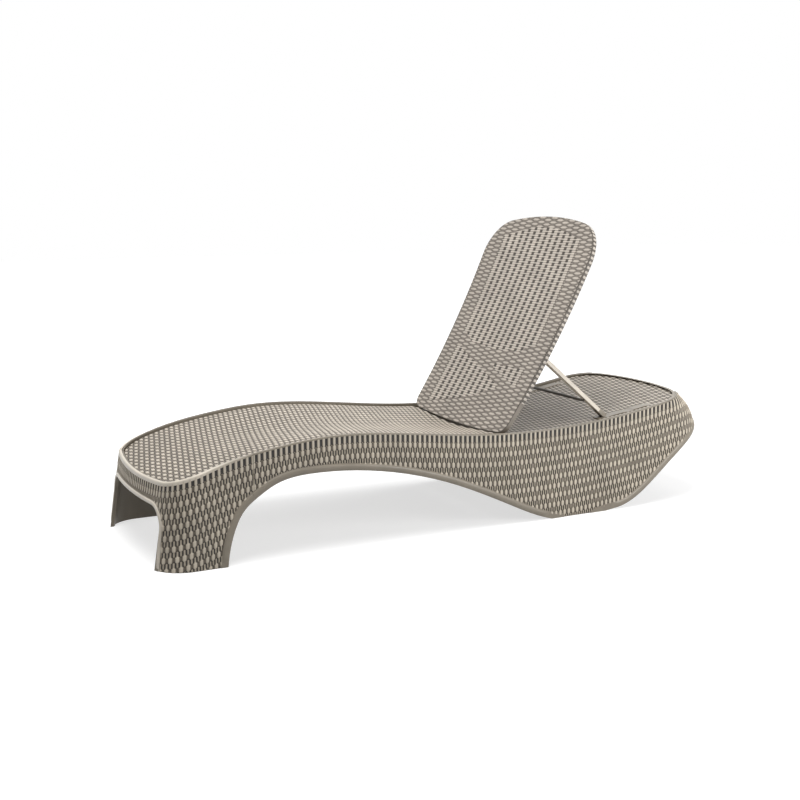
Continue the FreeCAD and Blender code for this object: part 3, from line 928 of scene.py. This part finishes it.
@dataclass
class LipMoulding:
    """The rounded moulding along the lip of the body's lower edge.

    The edge is found at every second column of the wall, and closer together where it is
    steep. The shortest length is a count of places. The probes are the shares of its width
    at which the wall is measured, and smoothing is how many places to each side share in
    the edge's direction.
    """

    apron: Apron
    side_width: float = 0.0200
    end_width: float = 0.0120
    end_facing: float = 0.7
    proud: float = 0.0040
    inset: float = 0.0008
    step: float = 0.004
    jump: float = 0.008
    fine: float = 0.0002
    floor_gap: float = 0.004
    every: int = 2
    steep: float = 0.003
    closest: float = 0.0001
    shortest: int = 30
    smoothing: int = 3
    sink: float = 0.0006
    taper: float = 0.030
    points: int = 9
    probes: tuple[float, float] = (0.3, 0.7)

    def build(self) -> list[bpy.types.Object]:
        """Make one moulding for each length of edge that stands clear of the floor.

        Returns:
            The mouldings.
        """
        pieces = []
        for run in self._runs():
            foot_end = sum(place.column.outward.x for place in run) < -self.end_facing * len(run)
            width = self.end_width if foot_end else self.side_width
            # The foot end's lip takes the pale finish as painted light, and the sides' lips the darker
            # finish as painted shade.
            finish = LIT_SMOOTH_RESIN if foot_end else SHADED_SHELL_RESIN
            pieces.append(self._sweep(f"lip_moulding_{len(pieces) + 1}", run, width, finish))
        return pieces

    def _edge(self, column: Column) -> float:
        """Find the wall's lower edge.

        Args:
            column: Column at which it is found.

        Returns:
            Its height there.
        """
        height = column.base
        last = self.apron.offset(column, height)

        def on_wall(level: float) -> bool:
            """Tell whether the wall goes on at a level."""
            found = self.apron.offset(column, level)
            return found is not MISS and abs(found - last) <= self.jump

        above = height
        while height > 0.0:
            height -= self.step
            if not on_wall(height):
                break
            last = self.apron.offset(column, height)
            above = height
        return max(0.0, boundary(on_wall, above, height, self.fine))

    def _runs(self) -> list[list[EdgePlace]]:
        """Follow the lower edge round the body.

        Returns:
            The lengths of edge clear of the floor, each with a floor place at both ends.
        """
        columns = self.apron.columns[:: self.every]
        spacing = (columns[1].place - columns[0].place).length
        heights = [self._edge(c) for c in columns]
        start = heights.index(min(heights))
        count = len(columns)
        runs: list[list[EdgePlace]] = [[]]
        floor_place = None
        for i in range(count):
            here, after = (start + i) % count, (start + i + 1) % count
            entry = EdgePlace(i * spacing, columns[here], heights[here])
            following = EdgePlace((i + 1) * spacing, columns[after], heights[after])
            for place in [entry] + self._between(entry, following):
                if place.height > self.floor_gap:
                    if not runs[-1] and floor_place:
                        runs[-1].append(floor_place)
                    runs[-1].append(place)
                    continue
                floor_place = place
                if runs[-1]:
                    runs[-1].append(place)
                    runs.append([])
        return [run for run in runs if len(run) > self.shortest]

    def _between(self, one: EdgePlace, two: EdgePlace) -> list[EdgePlace]:
        """Return extra places where the edge is steep between two places.

        Args:
            one: The first place.
            two: The second.

        Returns:
            The places between them, in order.
        """
        if abs(one.height - two.height) < self.steep or two.arc - one.arc < self.closest:
            return []
        column = one.column.halfway(two.column)
        place = EdgePlace(0.5 * (one.arc + two.arc), column, self._edge(column))
        return self._between(one, place) + [place] + self._between(place, two)

    def _sweep(
        self, name: str, run: list[EdgePlace], width: float, finish: ResinFinish
    ) -> bpy.types.Object:
        """Sweep the half-round along one length of edge.

        Args:
            name: Name of the piece.
            run: Places along the edge.
            width: Width of the moulding.
            finish: Its finish.

        Returns:
            The new object.
        """
        known = np.array([place.arc for place in run])
        levels = np.array([place.height for place in run])
        ends = np.concatenate(([0.0], np.cumsum(np.hypot(np.diff(known), np.diff(levels)))))
        wanted = np.linspace(0.0, ends[-1], int(ends[-1] / self.step))
        arcs = np.interp(wanted, ends, known)
        heights = np.interp(wanted, ends, levels)
        xs = np.interp(arcs, known, [place.column.place.x for place in run])
        ys = np.interp(arcs, known, [place.column.place.y for place in run])
        onward = self._growth(arcs)
        upward = self._growth(heights)
        rings, normals = [], []
        for i, arc in enumerate(arcs):
            size = math.hypot(onward[i], upward[i])
            inward = (-upward[i] / size, onward[i] / size)
            column = run[int(np.argmin(np.abs(known - arc)))].column
            ring = self._ring(Vector((xs[i], ys[i], 0.0)), heights[i], inward, column, width)
            if ring is not MISS:
                rings.append(ring)
                normals.append([tuple(column.outward)] * self.points)
        ways_out = np.array(normals)
        numbers = np.arange(len(rings))
        fade = eased(np.minimum(numbers, numbers[::-1]) * self.step / self.taper)
        half_round = np.sqrt(1.0 - (2.0 * np.linspace(0.0, 1.0, self.points) - 1.0) ** 2)
        lift = self.proud * fade[:, None] * half_round[None, :] - self.sink
        points = np.array(rings) + ways_out * lift[..., None]
        net = Net(points, ways_out, np.zeros((len(rings), self.points)))
        return net.piece(name, finish.material(), Body.ROOT, Slot.BODY)

    def _growth(self, values: np.ndarray) -> np.ndarray:
        """Measure how fast a value grows along the edge, evened out over neighbours.

        Args:
            values: The value at evenly spaced places.

        Returns:
            Its growth from each place to the next.
        """
        window = 2 * self.smoothing + 1
        padded = np.pad(np.gradient(values), self.smoothing, mode="edge")
        return np.convolve(padded, np.ones(window) / window, mode="valid")

    def _ring(
        self, start: Vector, height: float, inward: tuple[float, float], column: Column, width: float
    ) -> list[Place] | None:
        """Lay points on the wall, from the edge inward.

        Args:
            start: Point on the floor below the edge.
            height: Height of the edge.
            inward: Way in from the edge, as shares along the wall and up.
            column: Column nearest to the edge there.
            width: Width of the moulding.

        Returns:
            The points, or a miss where the wall isn't met.
        """
        along = Vector((-column.outward.y, column.outward.x, 0.0)) * inward[0]
        depths = []
        for share in self.probes:
            away = self.inset + share * width
            line = Column(start + along * away, column.outward, column.base)
            depths.append(self.apron.offset(line, height + inward[1] * away))
        if MISS in depths:
            return MISS
        slope = (depths[1] - depths[0]) / (self.probes[1] - self.probes[0])
        ring = []
        for share in np.linspace(0.0, 1.0, self.points):
            away = self.inset + share * width
            out = depths[0] + slope * (share - self.probes[0])
            level = height + inward[1] * away
            ring.append(tuple(start + along * away + column.outward * out + UP * level))
        return ring


@dataclass
class Panel:
    """A woven panel seen along one direction, such as the seat, the deck or the back."""

    node: str
    name: str
    origin: Vector
    along: Vector
    facing: Vector
    weave: Weave
    finish: ResinFinish
    body: Body
    slot: Slot
    sections: int = 2
    edge: float = 0.0004
    # Width of the edge band that sinks and is painted as a dark line of shade.
    border: float = 0.0022
    far: float = 0.5
    search_steps: int = 4000
    fine: float = 0.0001
    skin: Skin = field(init=False)
    ends: tuple[float, float] = field(init=False)

    def build(self) -> list[bpy.types.Object]:
        """Make the woven relief of the panel.

        Returns:
            The relief, in sections along the panel's length.
        """
        self.skin = Skin(self.node)
        self.ends = self._ends()
        low, high = self.ends
        step = self.weave.pitch / STRAND_STEPS
        first = math.ceil(low / step)
        last = math.floor(high / step)
        lines = [low] + [i * step for i in range(first, last + 1)] + [high]
        pieces = []
        share = math.ceil((len(lines) - 1) / self.sections)
        for index in range(self.sections):
            sheet = self._sheet(lines[index * share : (index + 1) * share + 1])
            name = f"{self.name}_{index + 1}"
            pieces.append(sheet.piece(name, self.weave, self.finish, self.body, self.slot))
        return pieces

    def surface(self, along: float, across: float) -> Vector | None:
        """Return the surface point at a place of the panel, or a miss."""
        start = self.origin + self.along * along + Vector((0.0, across, 0.0)) + self.facing * self.far
        return self.skin.probe(start, -self.facing)

    def _ends(self) -> tuple[float, float]:
        """Search the panel's middle line.

        Returns:
            Where the panel begins and ends along it.
        """
        corners = [Vector(c) - self.origin for c in (self.skin.low, self.skin.high)]
        spread = max(c.length for c in corners)
        found = []
        for i in range(self.search_steps + 1):
            along = spread * (2.0 * i / self.search_steps - 1.0)
            if self.surface(along, 0.0) is not MISS:
                found.append(along)
        return found[0] + self.edge, found[-1] - self.edge

    def _half_width(self, along: float) -> float:
        """Search the panel across its middle line.

        Args:
            along: Place along the panel.

        Returns:
            Half the panel's width there.
        """

        def on_panel(across: float) -> bool:
            """Tell whether the panel is met at a place across it."""
            return self.surface(along, across) is not MISS

        widest = boundary(on_panel, 0.0, self.skin.high.y + self.far, self.fine)
        return max(0.0, widest - self.edge)

    def _sheet(self, lines: list[float]) -> Sheet:
        """Return the grid of one section.

        Args:
            lines: Places along the panel.

        Returns:
            The grid, clipped to the panel's edges.
        """
        step = self.weave.row / ROW_STEPS
        limits = [self._half_width(a) for a in lines]
        half_count = math.ceil(max(limits) / step)
        places = [i * step for i in range(-half_count, half_count + 1)]
        points = np.zeros((len(lines), len(places), 3))
        keep = np.zeros((len(lines), len(places)), bool)
        across = np.zeros((len(lines), len(places)))
        border = np.zeros((len(lines), len(places)))
        for i, (along, limit) in enumerate(zip(lines, limits)):
            for k, place in enumerate(places):
                held = min(limit, max(-limit, place))
                hit = self.surface(along, held)
                if hit is MISS:
                    continue
                points[i, k] = hit
                across[i, k] = held
                keep[i, k] = abs(place) < limit + step
                # The edge band and the two ends are marked for the painted line of shade.
                border[i, k] = abs(held) > limit - self.border or along in self.ends
        normals = np.zeros_like(points) + np.array(tuple(self.facing))
        strands = np.array(lines)[:, None] / self.weave.pitch + np.zeros((1, len(places)))
        return Sheet(points, normals, strands, across / self.weave.row, keep, border)


@dataclass
class Edging:
    """The woven strip round the edge of the back.

    The outline is searched along lines from a centre on the back's middle line, over a
    number of half turns. The row share is the part of the drop at which a row lies.
    """

    panel: Panel
    weave: Weave = EDGE_WEAVE
    centre: float = 0.40
    reach: float = 0.60
    half_turns: float = 1.5
    outline_steps: int = 900
    fine: float = 0.0001
    lowest: float = 0.022
    top_gap: float = 0.0008
    drop: float = 0.0140
    row_share: float = 0.55
    inside: float = 0.0012
    ahead: int = 3

    def build(self) -> bpy.types.Object:
        """Make the strip, from one lower corner over the top to the other.

        Returns:
            The new object.
        """
        outline = self._outline()
        lengths = np.array([(b - a).length for a, b in zip(outline, outline[1:])])
        ends = np.concatenate(([0.0], np.cumsum(lengths)))
        step = self.weave.pitch / STRAND_STEPS
        wanted = np.arange(int(ends[-1] / step)) * step
        ups = np.interp(wanted, ends, [p.x for p in outline])
        sides = np.interp(wanted, ends, [p.y for p in outline])
        layers = int(self.drop * ROW_STEPS / self.weave.row) + 1
        depths = self.top_gap + self.drop * np.arange(layers) / (layers - 1)
        points = np.zeros((len(wanted), layers, 3))
        normals = np.zeros_like(points)
        for i, (up, side) in enumerate(zip(ups, sides)):
            before = max(0, i - self.ahead)
            after = min(len(wanted) - 1, i + self.ahead)
            outward = Vector((sides[after] - sides[before], ups[before] - ups[after])).normalized()
            rise, spread = self.inside * outward.x, self.inside * outward.y
            place = self.panel.surface(up - rise, side - spread) + self._way(rise, spread)
            for k, depth in enumerate(depths):
                points[i, k] = place - self.panel.facing * depth
                normals[i, k] = self._way(outward.x, outward.y)
        strands = wanted[:, None] / self.weave.pitch + np.zeros((1, layers))
        below_row = depths - self.row_share * self.drop
        rows = below_row[None, :] / self.weave.row + np.zeros((len(wanted), 1))
        # The strip's top row sinks and is painted as a dark line of shade.
        border = np.zeros_like(strands)
        border[:, 0] = 1.0
        sheet = Sheet(points, normals, strands, rows, np.ones(strands.shape, bool), border)
        return sheet.piece("back_edging", self.weave, BACK_RESIN, self.panel.body, self.panel.slot)

    def _way(self, up: float, side: float) -> Vector:
        """Return a direction of the back's own plane in the frame's axes."""
        return self.panel.along * up + Vector((0.0, side, 0.0))

    def _limit(self, heading: Vector) -> Vector:
        """Find the back's edge along a line from the centre.

        Args:
            heading: Way of the line, up the back and across it.

        Returns:
            Place of the edge, up the back and across it.
        """

        def on_back(away: float) -> bool:
            """Tell whether the back is met at a distance from the centre."""
            return self.panel.surface(self.centre + heading.x * away, heading.y * away) is not MISS

        last = boundary(on_back, 0.0, self.reach, self.fine)
        return Vector((self.centre + heading.x * last, heading.y * last))

    def _outline(self) -> list[Vector]:
        """Search the back's outline.

        Returns:
            Points of it, from the near lower corner over the top to the far one.
        """
        points = []
        for i in range(self.outline_steps + 1):
            angle = math.pi * (self.half_turns * i / self.outline_steps - 0.5 * self.half_turns)
            points.append(self._limit(Vector((math.cos(angle), math.sin(angle)))))
        return [place for place in points if place.x > self.lowest]


# The finish of each CAD node, by the start of its name; the body shell and the notch rail take the
# darker copy of the smooth resin, as painted shade.
NODE_FINISHES: dict[str, Finish] = {
    "body_shell": SHADED_SHELL_RESIN,
    "seat_panel": PANEL_RESIN,
    "rear_deck": PANEL_RESIN,
    "backrest_panel": BACK_CORE,
    "prop_leg": PROP_RESIN,
    "prop_crossbar": COATED_STEEL,
    "prop_foot": NYLON,
    "prop_bracket": BACK_RESIN,
    "prop_pin": PLATED_STEEL,
    "notch_rail": SHADED_SHELL_RESIN,
    "hinge_bracket": COATED_STEEL,
    "hinge_pin": PLATED_STEEL,
    "hinge_bushes": NYLON,
    "bracket_screws": PLATED_STEEL,
    "hinge_beam": COATED_STEEL,
    "seat_beam": COATED_STEEL,
}


@dataclass
class Hardware:
    """The CAD nodes, which keep their shapes and get their finishes."""

    finishes: dict[str, Finish] = field(default_factory=lambda: NODE_FINISHES)

    def dress(self) -> None:
        """Give every CAD node its finish by the start of its name."""
        for name, node in frame["nodes"].items():
            finish = next(f for start, f in self.finishes.items() if name.startswith(start))
            node.data.materials.clear()
            node.data.materials.append(finish.material())
            log.info("%s: %s", name, finish.name)


def background_rays(tree: bpy.types.NodeTree) -> bpy.types.NodeSocket:
    """Tell the rays that show the pale background from the rays that light the object.

    Args:
        tree: Node tree of the floor's material or of the world.

    Returns:
        A socket that is 1 for camera, glossy and transmission rays, and 0 for the rest.
    """
    path = tree.nodes.new("ShaderNodeLightPath")
    shown = path.outputs["Is Camera Ray"]
    for kind in ("Is Glossy Ray", "Is Transmission Ray"):
        either = tree.nodes.new("ShaderNodeMath")
        either.operation = "MAXIMUM"
        tree.links.new(shown, either.inputs[0])
        tree.links.new(path.outputs[kind], either.inputs[1])
        shown = either.outputs["Value"]
    return shown


def aim(thing: bpy.types.Object, place: Place, target: Place) -> None:
    """Add a lamp or a camera to the scene and turn it to its target.

    Args:
        thing: The lamp or the camera.
        place: Where it stands.
        target: What it looks at.
    """
    bpy.context.scene.collection.objects.link(thing)
    thing.location = place
    heading = Vector(target) - Vector(place)
    thing.rotation_euler = heading.to_track_quat("-Z", "Y").to_euler()


@dataclass(frozen=True)
class Lamp:
    """A soft square lamp, with its side in metres and its power in watts."""

    name: str
    place: Place
    target: Place
    side: float
    power: float

    def hang(self) -> None:
        """Add the lamp to the scene."""
        light = bpy.data.lights.new(self.name, "AREA")
        light.size = self.side
        light.energy = self.power
        aim(bpy.data.objects.new(self.name, light), self.place, self.target)


LAMPS = (
    Lamp("key", place=(-0.9, -0.6, 3.8), target=(-0.1, 0.0, 0.3), side=2.2, power=172.0),
    Lamp("side", place=(1.3, -2.0, 0.9), target=(0.6, -0.3, 0.2), side=1.0, power=30.0),
    Lamp("rear", place=(2.2, 1.4, 3.0), target=(-0.1, 0.0, 0.3), side=2.4, power=45.0),
)


@dataclass
class Studio:
    """Floor, light and camera."""

    camera_place: Place = (-1.831, -3.374, 1.037)
    camera_target: Place = (-0.081, 0.0, 0.370)
    lens: float = 53.58
    sensor: float = 36.0
    lamps: tuple[Lamp, ...] = LAMPS
    world_light: float = 0.16
    floor_span: float = 30.0
    floor_colour: Colour = (0.45, 0.45, 0.45)
    floor_roughness: float = 0.9
    floor_specular: float = 0.1
    shadow_reach: float = 1.0
    near_glow: float = 0.66

    def build(self) -> None:
        """Make the floor, the world, the lamps and the camera."""
        self._floor()
        self._world()
        for lamp in self.lamps:
            lamp.hang()
        self._camera()
        bpy.context.scene.view_settings.view_transform = "Standard"

    def _floor(self) -> None:
        """Make a pale floor that shows white and still takes the shadow near the object."""
        shape = bmesh.new()
        bmesh.ops.create_grid(shape, x_segments=2, y_segments=2, size=0.5 * self.floor_span)
        mesh = bpy.data.meshes.new("studio_floor")
        shape.to_mesh(mesh)
        shape.free()
        floor = bpy.data.objects.new("studio_floor", mesh)
        bpy.context.scene.collection.objects.link(floor)
        pale = bpy.data.materials.new("studio_floor_pale")
        pale.use_nodes = True
        tree = pale.node_tree
        shader = tree.nodes["Principled BSDF"]
        shader.inputs["Base Color"].default_value = (*self.floor_colour, 1.0)
        shader.inputs["Roughness"].default_value = self.floor_roughness
        shader.inputs["Specular IOR Level"].default_value = self.floor_specular
        shader.inputs["Emission Color"].default_value = WHITE
        place = tree.nodes.new("ShaderNodeTexCoord").outputs["Object"]
        away = tree.nodes.new("ShaderNodeVectorMath")
        away.operation = "LENGTH"
        tree.links.new(place, away.inputs[0])
        faded = 2.0 * self.shadow_reach
        rise = ranged(tree, away.outputs["Value"], self.near_glow, 1.0, self.shadow_reach, faded)
        glow = tree.nodes.new("ShaderNodeMath")
        glow.operation = "MULTIPLY"
        tree.links.new(background_rays(tree), glow.inputs[0])
        tree.links.new(rise, glow.inputs[1])
        tree.links.new(glow.outputs["Value"], shader.inputs["Emission Strength"])
        mesh.materials.append(pale)

    def _world(self) -> None:
        """Make a soft pale world that shows white."""
        world = bpy.data.worlds.new("studio_world")
        bpy.context.scene.world = world
        world.use_nodes = True
        tree = world.node_tree
        ground = tree.nodes["Background"]
        ground.inputs["Color"].default_value = WHITE
        strength = ranged(tree, background_rays(tree), self.world_light, 1.0)
        tree.links.new(strength, ground.inputs["Strength"])

    def _camera(self) -> None:
        """Place the camera at the photograph's angle."""
        data = bpy.data.cameras.new("studio_camera")
        data.lens = self.lens
        data.sensor_width = self.sensor
        camera = bpy.data.objects.new("studio_camera", data)
        aim(camera, self.camera_place, self.camera_target)
        bpy.context.scene.camera = camera


def main() -> None:
    """Build the lounger's looks in order."""
    logging.basicConfig(level=logging.INFO, format="%(message)s")
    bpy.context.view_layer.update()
    Hardware().dress()
    apron = Apron()
    apron.build()
    LipMoulding(apron).build()
    datum = UP * PANEL_LEVEL
    level = Vector((1.0, 0.0, 0.0))
    for node, name in (("seat_panel", "seat_weave"), ("rear_deck", "deck_weave")):
        Panel(node, name, datum, level, UP, SEAT_WEAVE, PANEL_RESIN, Body.ROOT, Slot.PANEL).build()
    lean = math.radians(BACK_LEAN)
    rise = Vector((math.cos(lean), 0.0, math.sin(lean)))
    front = Vector((-math.sin(lean), 0.0, math.cos(lean)))
    hinge = Vector(next(j["pos_m"] for j in frame["joints"] if j["child"] == Body.BACK.value))
    back = Panel(
        "backrest_panel", "back_weave", hinge, rise, front, BACK_WEAVE, BACK_RESIN, Body.BACK, Slot.BACK
    )
    back.build()
    Edging(back).build()
    Studio().build()
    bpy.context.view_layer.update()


if __name__ == "__main__":
    main()
